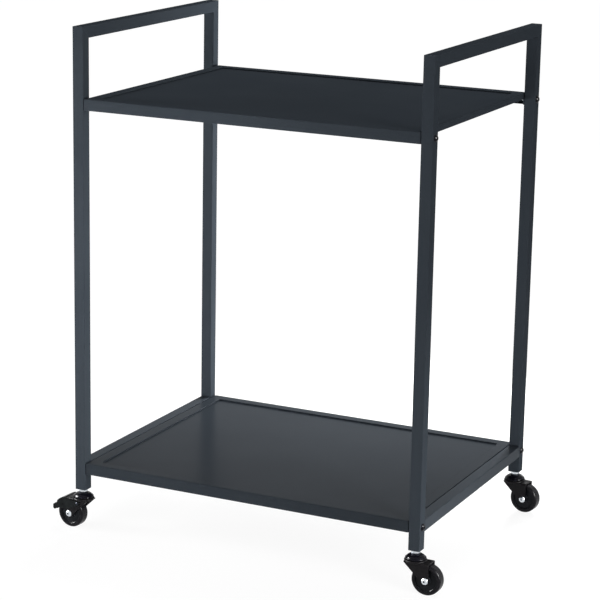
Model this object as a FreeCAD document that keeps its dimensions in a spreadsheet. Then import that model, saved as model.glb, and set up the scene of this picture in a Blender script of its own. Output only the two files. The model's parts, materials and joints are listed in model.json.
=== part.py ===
import FreeCAD, Part
import math
import operator
import os

import Sketcher
from FreeCAD import Placement, Rotation, Vector

# Two-tier serving cart: two welded side frames of square tube, two pressed steel shelves bolted
# between them, and four swivel casters, of which the two on the left carry a brake pedal.
# The origin is on the floor, midway between the legs. +X is to the right, +Y to the back, +Z up.
# Lengths are in millimetres and angles in degrees.

DIMENSIONS = (
    ("frame_width", "640", "across the outer faces of the legs, along X"),
    ("frame_depth", "472", "across the outer faces of the legs, along Y"),
    ("frame_height", "866", "floor to the top of the handle bars"),
    ("tube_size", "20", "side of the square tube"),
    ("tube_wall", "1", "wall of the square tube"),
    ("tube_corner", "1.4", "outer corner radius of the square tube"),
    ("lower_shelf_height", "120.5", "floor to the lower shelf's border"),
    ("handle_rise", "118", "upper shelf's border to the top of the handle bars"),
    ("shelf_sheet", "1", "thickness of the shelf's sheet"),
    ("shelf_bend", "2.4", "outer bend radius of the shelf's edges"),
    ("shelf_end_gap", "0.4", "between a shelf's end and the frame beside it"),
    ("apron_height", "19", "height of the long edges, border to bottom"),
    ("apron_lip", "14", "width of the lip folded in under a long edge"),
    ("end_flange_height", "10", "height of the short edges between their tabs"),
    ("shelf_border", "20.5", "width of the raised border"),
    ("recess_depth", "2.6", "drop from the border to the panel"),
    ("recess_corner", "5", "corner radius of the recess"),
    ("recess_bend", "0.7", "bend radius along the recess's step"),
    ("bolt_radius", "3", "shelf bolt"),
    ("bolt_hole_gap", "0.2", "between a shelf bolt and its holes"),
    ("bolt_head_radius", "6.4", "shelf bolt's button head"),
    ("bolt_head_height", "3.4", "shelf bolt's button head"),
    ("bolt_socket_width", "4", "across the flats of the head's hexagon socket"),
    ("bolt_socket_depth", "2", "depth of that socket"),
    ("bolt_reach", "2.5", "length of bolt past its nut"),
    ("nut_width", "10", "shelf nut across its flats"),
    ("nut_height", "5", "shelf nut"),
    ("thread_gap", "0.03", "between a bolt or stem and its nut"),
    ("socket_drop", "7.8", "lower shelf's bolt holes to the threaded plug in the foot of a leg"),
    ("socket_gap", "0.1", "between that plug and the inside of the tube"),
    ("wheel_radius", "25.5", "tread of the caster wheel"),
    ("wheel_width", "19", "tyre of the caster wheel"),
    ("wheel_shoulder", "4", "radius of the tyre's shoulders"),
    ("tyre_thickness", "5.5", "tread to the wheel core"),
    ("rim_width", "2", "raised rim of the wheel core, inside the tyre"),
    ("rim_inset", "0.6", "tyre's side to the face of that rim"),
    ("web_inset", "2.7", "tyre's side to the face of the core's web"),
    ("hub_radius", "8.2", "boss of the wheel core"),
    ("hub_gap", "0.4", "end of the boss to a fork plate"),
    ("core_soften", "0.8", "edge radius of the wheel core"),
    ("trail", "22", "stem axis to wheel axis"),
    ("stem_radius", "4", "threaded stem of a caster"),
    ("stem_drop", "4", "top of the threaded plug to the end of the stem"),
    ("stem_nut_width", "13", "nut under the leg, across its flats"),
    ("stem_nut_height", "5.3", "nut under the leg"),
    ("stem_nut_corner", "0.9", "height of the rounded corners of that nut"),
    ("collar_radius", "7.8", "flange of the stem, on the swivel cap"),
    ("collar_height", "2", "flange of the stem"),
    ("rivet_radius", "6.4", "stem's riveted foot under the fork"),
    ("rivet_height", "1.8", "stem's riveted foot"),
    ("rivet_gap", "0.2", "between that foot and the fork"),
    ("stem_nut_gap", "0.1", "between the stem's flange and the nut under the leg"),
    ("running_gap", "0.05", "radial clearance of a shaft that turns in a hole"),
    ("crown_clearance", "1.6", "wheel's top to the underside of the fork"),
    ("fork_sheet", "2", "thickness of the pressed fork"),
    ("wheel_side_gap", "2", "tyre to the inside of a fork plate"),
    ("fork_bend", "2.6", "outer bend radius of the fork's crown"),
    ("fork_nose", "15.5", "stem axis to the front edge of the fork's crown"),
    ("fork_lobe", "5.8", "radius of the fork's ends round the axle"),
    ("race_radius", "18.8", "round rim of the fork, under the swivel cap"),
    ("race_height", "4.2", "thickness of that rim"),
    ("race_groove", "0.6", "depth of its groove for the balls"),
    ("cap_gap", "0.4", "between that rim and the swivel cap"),
    ("cap_inset", "1.4", "edge of that rim to the edge of the swivel cap"),
    ("cap_roll", "1.5", "radius of the cap's rolled lower edge"),
    ("cap_height", "7.4", "swivel cap"),
    ("cap_top_radius", "9.4", "flat top of the swivel cap"),
    ("cap_dome", "10", "radius of the cap's rounded shoulder"),
    ("ball_radius", "2", "swivel ball"),
    ("ball_gap", "0.06", "between a ball and the two races"),
    ("ball_inset", "6.4", "edge of that rim to the middle of the balls"),
    ("axle_radius", "3", "wheel axle"),
    ("axle_head_radius", "5.7", "both heads of the axle"),
    ("axle_head_height", "2.3", "both heads of the axle"),
    ("axle_dimple_radius", "1.7", "hollow in the middle of an axle head"),
    ("axle_dimple_depth", "1.4", "that hollow"),
    ("pin_radius", "1.5", "brake pedal's pivot pin"),
    ("pin_lead", "19", "pivot pin to the wheel axle, along X"),
    ("pin_drop", "5.6", "underside of the crown to the pivot pin"),
    ("pin_head_radius", "2.7", "both heads of the pivot pin"),
    ("pin_head_height", "0.8", "both heads of the pivot pin"),
    ("pedal_gap", "0.3", "between the pedal and what is beside it"),
    ("pedal_cheek", "2", "thickness of the pedal's cheeks"),
    ("pedal_boss", "4.2", "radius of the pedal's ends round the pin"),
    ("brake_gap", "2.4", "tread to the raised pedal's web"),
    ("pedal_web", "2.6", "thickness of that web"),
    ("pedal_start", "0.6", "fork's crown to the web"),
    ("shoulder_gap", "0.7", "fork's round rim to where the cheek's top edge starts to rise"),
    ("cheek_rise", "9.1", "wheel axle to the cheek's lower edge above it"),
    ("heel_reach", "18.5", "wheel axle to the cheek's lower rear corner, along X"),
    ("heel_rise", "7.9", "wheel axle to that corner, upwards"),
    ("tongue_reach", "11.9", "tread to the tip of the tongue, along X"),
    ("tongue_rise", "6", "wheel axle to the middle of the rolled tip, upwards"),
    ("tongue_roll", "5", "radius of the rolled tip"),
    ("tongue_half_width", "9.5", "half the width of the tongue"),
    ("tongue_length", "14.4", "tip of the tongue to where it narrows"),
    ("tongue_corner", "2.5", "corner radius of the tip, seen from above"),
    ("front_right_caster_turn", "-1", "rest angle of the front right caster about Z"),
    ("back_right_caster_turn", "-6", "rest angle of the back right caster about Z"),
    ("front_left_caster_turn", "175", "rest angle of the front left caster about Z"),
    ("back_left_caster_turn", "187", "rest angle of the back left caster about Z"),
    ("cut_overrun", "2", "how far a cut runs past the piece"),
)

BALL_COUNT = 10
FULL_TURN = 360
HEXAGON_SIDES = 6
DISTANCE_TOLERANCE = 1e-4
# The edge radius of the fork's round rim, as a share of the rim's height
RACE_EDGE_SHARE = 0.43
# Where the pedal's tongue meets its rolled tip, as shares of the roll's radius along X and Z
NECK_SHARES = (0.6, 0.8)

doc = FreeCAD.newDocument("serving_cart")
sheet = doc.addObject("Spreadsheet::Sheet", "Sizes")
for row, (alias, number, meaning) in enumerate(DIMENSIONS, start=1):
    sheet.set("A%d" % row, meaning)
    sheet.set("B%d" % row, number)
    sheet.setAlias("B%d" % row, alias)
doc.recompute()


class Size:
    """A size known as a number and as the expression that gives it from the sheet."""

    def __init__(self, text, value):
        self.text = text
        self.value = value

    def __add__(self, other):
        return combine(self, "+", other)

    def __sub__(self, other):
        return combine(self, "-", other)

    def __mul__(self, other):
        return combine(self, "*", other)

    def __truediv__(self, other):
        return combine(self, "/", other)

    def __neg__(self):
        return Size("(-%s)" % self.text, -self.value)


OPERATIONS = {"+": operator.add, "-": operator.sub, "*": operator.mul, "/": operator.truediv}
NOTHING = Size("0", 0)


def combine(first, sign, second):
    if not isinstance(second, Size):
        second = Size(str(second), second)
    text = "(%s %s %s)" % (first.text, sign, second.text)
    return Size(text, OPERATIONS[sign](first.value, second.value))


def root(size):
    return Size("sqrt(%s)" % size.text, math.sqrt(size.value))


def cell(alias):
    return Size("Sizes.%s" % alias, float(sheet.get(alias)))


size = {alias: cell(alias) for alias, number, meaning in DIMENSIONS}

# Sizes that several pieces share, worked out from the sheet

SHELF_HEIGHTS = {
    "lower": size["lower_shelf_height"],
    "upper": size["frame_height"] - size["handle_rise"],
}
tube_half = size["tube_size"] / 2
tube_bore = size["tube_size"] - size["tube_wall"] * 2
leg_x = size["frame_width"] / 2 - tube_half
leg_y = size["frame_depth"] / 2 - tube_half
shelf_half_x = size["frame_width"] / 2 - size["tube_size"] - size["shelf_end_gap"]
shelf_half_y = size["frame_depth"] / 2
bolt_drop = size["apron_height"] / 2
bolt_hole_radius = size["bolt_radius"] + size["bolt_hole_gap"]
nut_seat = size["tube_size"] + size["shelf_end_gap"] + size["shelf_sheet"]
bolt_length = nut_seat + size["nut_height"] + size["bolt_reach"]
wheel_half = size["wheel_width"] / 2
fork_under = size["wheel_radius"] * 2 + size["crown_clearance"]
fork_top = fork_under + size["fork_sheet"]
fork_inner_half = wheel_half + size["wheel_side_gap"]
fork_half = fork_inner_half + size["fork_sheet"]
fork_tail = size["trail"] + size["fork_lobe"]
race_top = fork_under + size["race_height"]
cap_bottom = race_top + size["cap_gap"]
cap_top = cap_bottom + size["cap_height"]
cap_radius = size["race_radius"] - size["cap_inset"]
ball_circle = size["race_radius"] - size["ball_inset"]
groove_floor = race_top - size["race_groove"]
ball_middle = groove_floor + size["ball_gap"] + size["ball_radius"]
ball_track = size["ball_radius"] + size["ball_gap"] * 2
stem_nut_bottom = cap_top + size["collar_height"] + size["stem_nut_gap"]
leg_lift = stem_nut_bottom + size["stem_nut_height"]
leg_length = size["frame_height"] - leg_lift
socket_top = SHELF_HEIGHTS["lower"] - bolt_drop - bolt_hole_radius - size["socket_drop"]
socket_length = socket_top - leg_lift
tyre_inner = size["wheel_radius"] - size["tyre_thickness"]
pin_x = size["trail"] - size["pin_lead"]
pin_z = fork_under - size["pin_drop"]
pedal_inner_half = fork_half + size["pedal_gap"]
pedal_outer_half = pedal_inner_half + size["pedal_cheek"]
web_inner = size["wheel_radius"] + size["brake_gap"]
web_outer = web_inner + size["pedal_web"]

SIDES = {"left": -1, "right": 1}
ENDS = {"front": -1, "back": 1}
CASTER_TURNS = {
    ("front", "left"): size["front_left_caster_turn"],
    ("front", "right"): size["front_right_caster_turn"],
    ("back", "left"): size["back_left_caster_turn"],
    ("back", "right"): size["back_right_caster_turn"],
}


# Sketches and features

def new_body(name):
    body = doc.addObject("PartDesign::Body", name)
    body.Label = name
    return body


def sketch_on(body, plane, lift=None, shift=None):
    """A sketch on one of the body's planes, lifted off it and shifted along its own X."""
    sketch = body.newObject("Sketcher::SketchObject", "Sketch")
    support = next(item for item in body.Origin.OriginFeatures if item.Role == plane)
    sketch.AttachmentSupport = [(support, "")]
    sketch.MapMode = "FlatFace"
    if lift is not None:
        sketch.setExpression("AttachmentOffset.Base.z", lift.text)
    if shift is not None:
        sketch.setExpression("AttachmentOffset.Base.x", shift.text)
    return sketch


def constrain(sketch, kind, *terms):
    """A constraint whose last term may be a Size, which it is then bound to."""
    wanted = terms[-1]
    if isinstance(wanted, Size):
        terms = terms[:-1] + (wanted.value,)
    index = sketch.addConstraint(Sketcher.Constraint(kind, *terms))
    if isinstance(wanted, Size):
        sketch.setExpression("Constraints[%d]" % index, wanted.text)


def hold_point(sketch, geometry, end, across, up):
    """Fix a point of a sketch by its distances from the sketch's two axes."""
    for kind, axis, distance in (("DistanceX", -2, across), ("DistanceY", -1, up)):
        if distance is NOTHING:
            constrain(sketch, "PointOnObject", geometry, end, axis)
        else:
            constrain(sketch, kind, -1, 1, geometry, end, distance)


def flat(across, up):
    return Vector(across.value, up.value, 0)


def arc_between(start, end, radius):
    """The short arc from start to end, turning left where the radius is positive."""
    chord = end - start
    rise = math.sqrt(max(radius ** 2 - (chord.Length / 2) ** 2, 0))
    left = Vector(-chord.y, chord.x, 0).normalize()
    centre = (start + end) / 2 + left * math.copysign(rise, radius)
    first, last = (start, end) if radius > 0 else (end, start)
    angles = [math.atan2(point.y - centre.y, point.x - centre.x) for point in (first, last)]
    circle_shape = Part.Circle(centre, Vector(0, 0, 1), abs(radius))
    return Part.ArcOfCircle(circle_shape, *angles)


def outline(sketch, corners):
    """A closed outline. A corner's third entry is the radius of the arc that ends there."""
    edges = []
    for index, corner in enumerate(corners):
        start = flat(*corners[index - 1][:2])
        end = flat(*corner[:2])
        radius = corner[2] if len(corner) > 2 else None
        if radius is None:
            edges.append((sketch.addGeometry(Part.LineSegment(start, end)), 1, 2))
            continue
        backwards = radius.value < 0
        geometry = sketch.addGeometry(arc_between(start, end, radius.value))
        constrain(sketch, "Radius", geometry, -radius if backwards else radius)
        edges.append((geometry, 2, 1) if backwards else (geometry, 1, 2))
    for index, (geometry, entry, leave) in enumerate(edges):
        following, following_entry, _ = edges[(index + 1) % len(edges)]
        constrain(sketch, "Coincident", geometry, leave, following, following_entry)
        hold_point(sketch, geometry, leave, *corners[index][:2])


def box_outline(sketch, low_x, high_x, low_y, high_y):
    outline(sketch, ((low_x, low_y), (high_x, low_y), (high_x, high_y), (low_x, high_y)))


def centred_box(sketch, half_x, half_y):
    box_outline(sketch, -half_x, half_x, -half_y, half_y)


def circle(sketch, across, up, radius):
    drawn = Part.Circle(flat(across, up), Vector(0, 0, 1), radius.value)
    geometry = sketch.addGeometry(drawn)
    constrain(sketch, "Radius", geometry, radius)
    hold_point(sketch, geometry, 3, across, up)


def hexagon(sketch, flats):
    """A hexagon with two flats square to the sketch's X."""
    half = flats / 2
    tip = flats / root(Size("3", 3))
    outline(sketch, ((half, -tip / 2), (half, tip / 2), (NOTHING, tip),
                     (-half, tip / 2), (-half, -tip / 2), (NOTHING, -tip)))


def set_extent(feature, sketch, length, both_ways, reverse):
    feature.Profile = sketch
    feature.Reversed = reverse
    if both_ways:
        feature.SideType = "Symmetric"
    if length is None:
        feature.Type = "ThroughAll"
    else:
        feature.setExpression("Length", length.text)


def settle(body, feature):
    """Work the newest feature out, and stop if it can't be made."""
    doc.recompute()
    if "Invalid" in feature.State:
        raise RuntimeError("%s: %s fails" % (body.Label, feature.Name))


def settle_cut(body, feature, before):
    settle(body, feature)
    if body.Shape.Volume >= before:
        raise RuntimeError("%s: %s cuts nothing" % (body.Label, feature.Name))


def pad(body, sketch, length, both_ways=False, reverse=False):
    feature = body.newObject("PartDesign::Pad", "Pad")
    set_extent(feature, sketch, length, both_ways, reverse)
    settle(body, feature)


def pocket(body, sketch, length=None, both_ways=False, reverse=False):
    before = body.Shape.Volume
    feature = body.newObject("PartDesign::Pocket", "Pocket")
    set_extent(feature, sketch, length, both_ways, reverse)
    settle_cut(body, feature, before)


def set_turn(feature, sketch, axis):
    feature.Profile = sketch
    feature.ReferenceAxis = (sketch, [axis])
    feature.Angle = FULL_TURN


def revolve(body, sketch, axis):
    feature = body.newObject("PartDesign::Revolution", "Revolution")
    set_turn(feature, sketch, axis)
    settle(body, feature)


def groove(body, sketch, axis):
    before = body.Shape.Volume
    feature = body.newObject("PartDesign::Groove", "Groove")
    set_turn(feature, sketch, axis)
    settle_cut(body, feature, before)


def soften(body, radius, wanted):
    """Round the edges of the body that the test picks out."""
    tip = body.Tip
    names = []
    for number, edge in enumerate(tip.Shape.Edges, start=1):
        if not edge.Degenerated and wanted(edge):
            names.append("Edge%d" % number)
    if not names:
        raise RuntimeError("%s: no edge to round" % body.Label)
    feature = body.newObject("PartDesign::Fillet", "Fillet")
    feature.Base = (tip, names)
    feature.setExpression("Radius", radius.text)
    settle(body, feature)


def same(value, other):
    return abs(value - other) < DISTANCE_TOLERANCE


def runs_along(edge, direction):
    """Whether the edge is a straight one along the direction."""
    if not isinstance(edge.Curve, Part.Line):
        return False
    return edge.Curve.Direction.cross(direction).Length < DISTANCE_TOLERANCE


def at_height(edge, height):
    """Whether the whole edge lies at one height."""
    return same(edge.BoundBox.ZMin, height.value) and same(edge.BoundBox.ZMax, height.value)


def is_ring(edge, radius):
    return isinstance(edge.Curve, Part.Circle) and same(edge.Curve.Radius, radius.value)


# Square tube

def square_tube(name, plane, direction, length, both_ways):
    """A tube along the direction, with its corners rounded and its bore cut."""
    body = new_body(name)
    section = sketch_on(body, plane)
    centred_box(section, tube_half, tube_half)
    pad(body, section, length, both_ways)
    soften(body, size["tube_corner"], lambda edge: runs_along(edge, direction))
    bore = sketch_on(body, plane)
    centred_box(bore, tube_bore / 2, tube_bore / 2)
    if both_ways:
        pocket(body, bore, None, True)
    else:
        pocket(body, bore, length, False, True)
    return body


def make_leg():
    """An upright leg: its foot is at the origin and its front face is towards -Y."""
    leg = square_tube("leg", "XY_Plane", Vector(0, 0, 1), leg_length, False)
    over = size["cut_overrun"]
    mitre = sketch_on(leg, "YZ_Plane")
    outline(mitre, ((-tube_half - over, leg_length + over),
                    (tube_half + over, leg_length - size["tube_size"] - over),
                    (tube_half + over, leg_length + over)))
    pocket(leg, mitre, None, True)
    holes = sketch_on(leg, "YZ_Plane")
    for height in SHELF_HEIGHTS.values():
        circle(holes, NOTHING, height - bolt_drop - leg_lift, bolt_hole_radius)
    pocket(leg, holes, None, True)
    return leg


def make_handle_bar():
    """The bar across the tops of two legs, mitred at both ends, with its middle at the origin."""
    bar = square_tube("handle_bar", "XZ_Plane", Vector(0, 1, 0), size["frame_depth"], True)
    over = size["cut_overrun"]
    mitres = sketch_on(bar, "YZ_Plane")
    for end in ENDS.values():
        tip = size["frame_depth"] / 2 + over
        inner = size["frame_depth"] / 2 - size["tube_size"] - over
        outline(mitres, ((tip * end, tube_half + over), (inner * end, -tube_half - over),
                         (tip * end, -tube_half - over)))
    pocket(bar, mitres, None, True)
    return bar


def make_crossbar():
    """The lower bar between two legs, with its middle at the origin."""
    length = size["frame_depth"] - size["tube_size"] * 2
    return square_tube("crossbar", "XZ_Plane", Vector(0, 1, 0), length, True)


def make_leg_socket():
    """The threaded plug in the foot of a leg. Its lower face is flush with the leg's."""
    body = new_body("leg_socket")
    half = tube_bore / 2 - size["socket_gap"]
    section = sketch_on(body, "XY_Plane")
    centred_box(section, half, half)
    pad(body, section, socket_length)
    soften(body, size["tube_wall"], lambda edge: runs_along(edge, Vector(0, 0, 1)))
    bore = sketch_on(body, "XY_Plane")
    circle(bore, NOTHING, NOTHING, size["stem_radius"] + size["thread_gap"])
    pocket(body, bore, socket_length, False, True)
    return body


# Shelf

def make_shelf():
    """A pressed shelf. The origin is the middle of its border's plane."""
    body = new_body("shelf")
    bottom = -size["apron_height"]
    sheet_in_x = shelf_half_x - size["shelf_sheet"]
    sheet_in_y = shelf_half_y - size["shelf_sheet"]
    recess_x = shelf_half_x - size["shelf_border"]
    recess_y = shelf_half_y - size["shelf_border"]
    panel_under = -size["recess_depth"] - size["shelf_sheet"]

    blank = sketch_on(body, "XY_Plane", bottom)
    centred_box(blank, shelf_half_x, shelf_half_y)
    pad(body, blank, size["apron_height"])
    soften(body, size["shelf_bend"],
           lambda edge: runs_along(edge, Vector(0, 0, 1)) or at_height(edge, NOTHING))

    hollow = sketch_on(body, "XY_Plane", bottom)
    centred_box(hollow, sheet_in_x, sheet_in_y)
    pocket(body, hollow, size["apron_height"] + panel_under, False, True)

    recess = sketch_on(body, "XY_Plane")
    centred_box(recess, recess_x, recess_y)
    pocket(body, recess, size["recess_depth"])
    soften(body, size["recess_corner"],
           lambda edge: runs_along(edge, Vector(0, 0, 1))
           and same(abs(edge.Vertexes[0].X), recess_x.value))

    border_under = sketch_on(body, "XY_Plane", panel_under)
    centred_box(border_under, sheet_in_x, sheet_in_y)
    centred_box(border_under, recess_x + size["shelf_sheet"], recess_y + size["shelf_sheet"])
    pocket(body, border_under, size["recess_depth"], False, True)

    tab_inner = shelf_half_y - size["tube_size"]
    end_trim = sketch_on(body, "YZ_Plane")
    box_outline(end_trim, -tab_inner, tab_inner, bottom - size["cut_overrun"], -size["end_flange_height"])
    pocket(body, end_trim, None, True)

    lips = sketch_on(body, "XY_Plane", bottom)
    lip_half_x = shelf_half_x - size["shelf_bend"]
    lip_outer = shelf_half_y - size["shelf_sheet"] / 2
    lip_inner = shelf_half_y - size["apron_lip"]
    for end in ENDS.values():
        box_outline(lips, -lip_half_x, lip_half_x, lip_outer * end, lip_inner * end)
    pad(body, lips, size["shelf_sheet"])

    holes = sketch_on(body, "YZ_Plane")
    for end in ENDS.values():
        circle(holes, leg_y * end, -bolt_drop, bolt_hole_radius)
    pocket(body, holes, None, True)

    half_recess = recess_x.value - size["recess_corner"].value
    soften(body, size["recess_bend"],
           lambda edge: (at_height(edge, NOTHING) or at_height(edge, -size["recess_depth"]))
           and same(max(abs(edge.BoundBox.XMin), abs(edge.BoundBox.XMax)), recess_x.value)
           or at_height(edge, NOTHING) and same(edge.BoundBox.XMax, half_recess)
           or at_height(edge, -size["recess_depth"]) and same(edge.BoundBox.XMax, half_recess))
    return body


# Fasteners

def make_shelf_bolt():
    """A button-head bolt. The origin is under its head, and +X leads out of the head."""
    body = new_body("shelf_bolt")
    crown_radius = size["bolt_head_radius"] / 2
    profile = sketch_on(body, "XY_Plane")
    outline(profile, ((-bolt_length, NOTHING), (size["bolt_head_height"], NOTHING),
                      (size["bolt_head_height"], crown_radius),
                      (NOTHING, size["bolt_head_radius"], size["bolt_head_radius"]),
                      (NOTHING, size["bolt_radius"]), (-bolt_length, size["bolt_radius"])))
    revolve(body, profile, "H_Axis")
    socket = sketch_on(body, "YZ_Plane", size["bolt_head_height"])
    hexagon(socket, size["bolt_socket_width"])
    pocket(body, socket, size["bolt_socket_depth"])
    return body


def make_shelf_nut():
    """A hexagon nut from the origin towards -X."""
    body = new_body("shelf_nut")
    section = sketch_on(body, "YZ_Plane")
    hexagon(section, size["nut_width"])
    circle(section, NOTHING, NOTHING, size["bolt_radius"] + size["thread_gap"])
    pad(body, section, size["nut_height"], False, True)
    return body


# Caster: its origin is on the floor under the stem, and +X is the way that the wheel trails

def make_stem():
    """The threaded stem, with its flange on the swivel cap and its riveted foot."""
    body = new_body("stem")
    foot_top = fork_under - size["rivet_gap"]
    foot_bottom = foot_top - size["rivet_height"]
    top = socket_top - size["stem_drop"]
    profile = sketch_on(body, "XZ_Plane")
    outline(profile, ((NOTHING, foot_bottom), (size["rivet_radius"] - size["rivet_height"], foot_bottom),
                      (size["rivet_radius"], foot_top, size["rivet_height"] * 2),
                      (size["stem_radius"], foot_top), (size["stem_radius"], cap_top),
                      (size["collar_radius"], cap_top),
                      (size["collar_radius"], cap_top + size["collar_height"]),
                      (size["stem_radius"], cap_top + size["collar_height"]),
                      (size["stem_radius"], top), (NOTHING, top)))
    revolve(body, profile, "V_Axis")
    return body


def make_stem_nut():
    """The nut that locks the stem against the foot of the leg."""
    body = new_body("stem_nut")
    section = sketch_on(body, "XY_Plane", stem_nut_bottom)
    hexagon(section, size["stem_nut_width"])
    pad(body, section, size["stem_nut_height"])
    corner = size["stem_nut_width"] / root(Size("3", 3))
    over = size["cut_overrun"]
    inner = size["stem_nut_width"] / 2
    rounding = sketch_on(body, "XZ_Plane")
    outline(rounding, ((inner, stem_nut_bottom), (inner, stem_nut_bottom - over),
                       (corner + over, stem_nut_bottom - over),
                       (corner + over, stem_nut_bottom + size["stem_nut_corner"]),
                       (corner, stem_nut_bottom + size["stem_nut_corner"])))
    top = leg_lift
    outline(rounding, ((inner, top), (corner, top - size["stem_nut_corner"]),
                       (corner + over, top - size["stem_nut_corner"]),
                       (corner + over, top + over), (inner, top + over)))
    groove(body, rounding, "V_Axis")
    bore = sketch_on(body, "XY_Plane")
    circle(bore, NOTHING, NOTHING, size["stem_radius"] + size["thread_gap"])
    pocket(body, bore, leg_lift, False, True)
    return body


def make_swivel_cap():
    """The domed upper race, which stays with the stem."""
    body = new_body("swivel_cap")
    bore = size["stem_radius"] + size["thread_gap"]
    track_inner = ball_circle - ball_track
    track_outer = ball_circle + ball_track
    track_top = ball_middle + size["ball_radius"] + size["ball_gap"]
    roll = size["cap_roll"]
    shoulder = cap_radius - roll
    profile = sketch_on(body, "XZ_Plane")
    outline(profile, ((bore, cap_bottom), (track_inner, cap_bottom), (track_inner, track_top),
                      (track_outer, track_top), (track_outer, cap_bottom), (shoulder, cap_bottom),
                      (cap_radius, cap_bottom + roll, roll),
                      (shoulder, cap_bottom + roll * 2, roll),
                      (size["cap_top_radius"], cap_top, size["cap_dome"]),
                      (bore, cap_top)))
    revolve(body, profile, "V_Axis")
    return body


def tangent_point(centre, radius, outside):
    """Where a line from the outside point touches a circle on the circle's lower left."""
    gap = [there - middle for there, middle in zip(outside, centre)]
    square = gap[0] * gap[0] + gap[1] * gap[1]
    along = radius * radius / square
    across = radius * root(square - radius * radius) / square
    return (centre[0] + gap[0] * along - gap[1] * across,
            centre[1] + gap[1] * along + gap[0] * across)


def make_fork(name, braked):
    """The pressed fork with its round race. A braked fork has holes for the pedal's pin."""
    body = new_body(name)
    axle = (size["trail"], size["wheel_radius"])
    nose = (-size["fork_nose"], fork_under)
    touch = tangent_point(axle, size["fork_lobe"], nose)
    lowest = (size["trail"], size["wheel_radius"] - size["fork_lobe"])
    side = sketch_on(body, "XZ_Plane")
    outline(side, ((-size["fork_nose"], fork_top), nose, touch,
                   (*lowest, size["fork_lobe"]),
                   (fork_tail, size["wheel_radius"], size["fork_lobe"]),
                   (fork_tail, fork_top)))
    pad(body, side, fork_half * 2, True)
    soften(body, size["fork_bend"],
           lambda edge: runs_along(edge, Vector(1, 0, 0)) and at_height(edge, fork_top))

    race = sketch_on(body, "XZ_Plane")
    rounded = size["race_height"] * RACE_EDGE_SHARE
    race_flat = size["race_radius"] - rounded
    outline(race, ((NOTHING, fork_under), (race_flat, fork_under),
                   (size["race_radius"], fork_under + rounded, rounded),
                   (size["race_radius"], race_top - rounded),
                   (race_flat, race_top, rounded), (NOTHING, race_top)))
    revolve(body, race, "V_Axis")

    gap = sketch_on(body, "XZ_Plane")
    box_outline(gap, -size["fork_nose"] * 2, fork_tail * 2, -size["wheel_radius"], fork_under)
    pocket(body, gap, fork_inner_half * 2, True)

    balls = sketch_on(body, "XY_Plane", race_top)
    circle(balls, NOTHING, NOTHING, ball_circle - ball_track)
    circle(balls, NOTHING, NOTHING, ball_circle + ball_track)
    pocket(body, balls, size["race_groove"])

    stem_hole = sketch_on(body, "XY_Plane", race_top)
    circle(stem_hole, NOTHING, NOTHING, size["stem_radius"] + size["running_gap"])
    pocket(body, stem_hole)

    pins = sketch_on(body, "XZ_Plane")
    circle(pins, *axle, size["axle_radius"] + size["thread_gap"])
    if braked:
        circle(pins, pin_x, pin_z, size["pin_radius"] + size["thread_gap"])
    pocket(body, pins, None, True)
    return body


def shaft_profile(body, forward, up, radius, half, head_radius, head_height):
    """A headed pin along Y at a place in the fork, with a rounded head at each end."""
    profile = sketch_on(body, "XY_Plane", up, forward)
    outer = half + head_height
    crown = head_radius / 2
    outline(profile, ((NOTHING, -outer), (crown, -outer), (head_radius, -half, head_radius),
                      (radius, -half), (radius, half), (head_radius, half),
                      (crown, outer, head_radius), (NOTHING, outer)))
    revolve(body, profile, "V_Axis")


def make_axle():
    """The wheel's axle: a rivet with a hollow in each head."""
    body = new_body("axle")
    shaft_profile(body, size["trail"], size["wheel_radius"], size["axle_radius"], fork_half,
                  size["axle_head_radius"], size["axle_head_height"])
    dimple = sketch_on(body, "XY_Plane", size["wheel_radius"], size["trail"])
    outer = fork_half + size["axle_head_height"]
    for end in ENDS.values():
        box_outline(dimple, NOTHING, size["axle_dimple_radius"],
                    (outer - size["axle_dimple_depth"]) * end, (outer + size["cut_overrun"]) * end)
    groove(body, dimple, "V_Axis")
    return body


def make_wheel_core():
    """The moulded core: boss, web and rim."""
    body = new_body("wheel_core")
    bore = size["axle_radius"] + size["running_gap"]
    rim_inner = tyre_inner - size["rim_width"]
    rim_half = wheel_half - size["rim_inset"]
    web_half = wheel_half - size["web_inset"]
    hub_half = fork_inner_half - size["hub_gap"]
    profile = sketch_on(body, "XY_Plane", size["wheel_radius"], size["trail"])
    outline(profile, ((bore, -hub_half), (size["hub_radius"], -hub_half),
                      (size["hub_radius"], -web_half), (rim_inner, -web_half),
                      (rim_inner, -rim_half), (tyre_inner, -rim_half),
                      (tyre_inner, rim_half), (rim_inner, rim_half),
                      (rim_inner, web_half), (size["hub_radius"], web_half),
                      (size["hub_radius"], hub_half), (bore, hub_half)))
    revolve(body, profile, "V_Axis")
    soften(body, size["core_soften"],
           lambda edge: is_ring(edge, size["hub_radius"]) or is_ring(edge, rim_inner))
    return body


def make_tyre():
    body = new_body("tyre")
    flank = size["wheel_radius"] - size["wheel_shoulder"]
    edge = wheel_half - size["wheel_shoulder"]
    profile = sketch_on(body, "XY_Plane", size["wheel_radius"], size["trail"])
    outline(profile, ((tyre_inner, -wheel_half), (flank, -wheel_half),
                      (size["wheel_radius"], -edge, size["wheel_shoulder"]),
                      (size["wheel_radius"], edge), (flank, wheel_half, size["wheel_shoulder"]),
                      (tyre_inner, wheel_half)))
    revolve(body, profile, "V_Axis")
    return body


def make_brake_pin():
    body = new_body("brake_pin")
    shaft_profile(body, pin_x, pin_z, size["pin_radius"], pedal_outer_half + size["running_gap"],
                  size["pin_head_radius"], size["pin_head_height"])
    return body


def on_web(forward):
    """The height of the web's outer face at a distance from the stem."""
    reach = forward - size["trail"]
    return size["wheel_radius"] + root(web_outer * web_outer - reach * reach)


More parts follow.
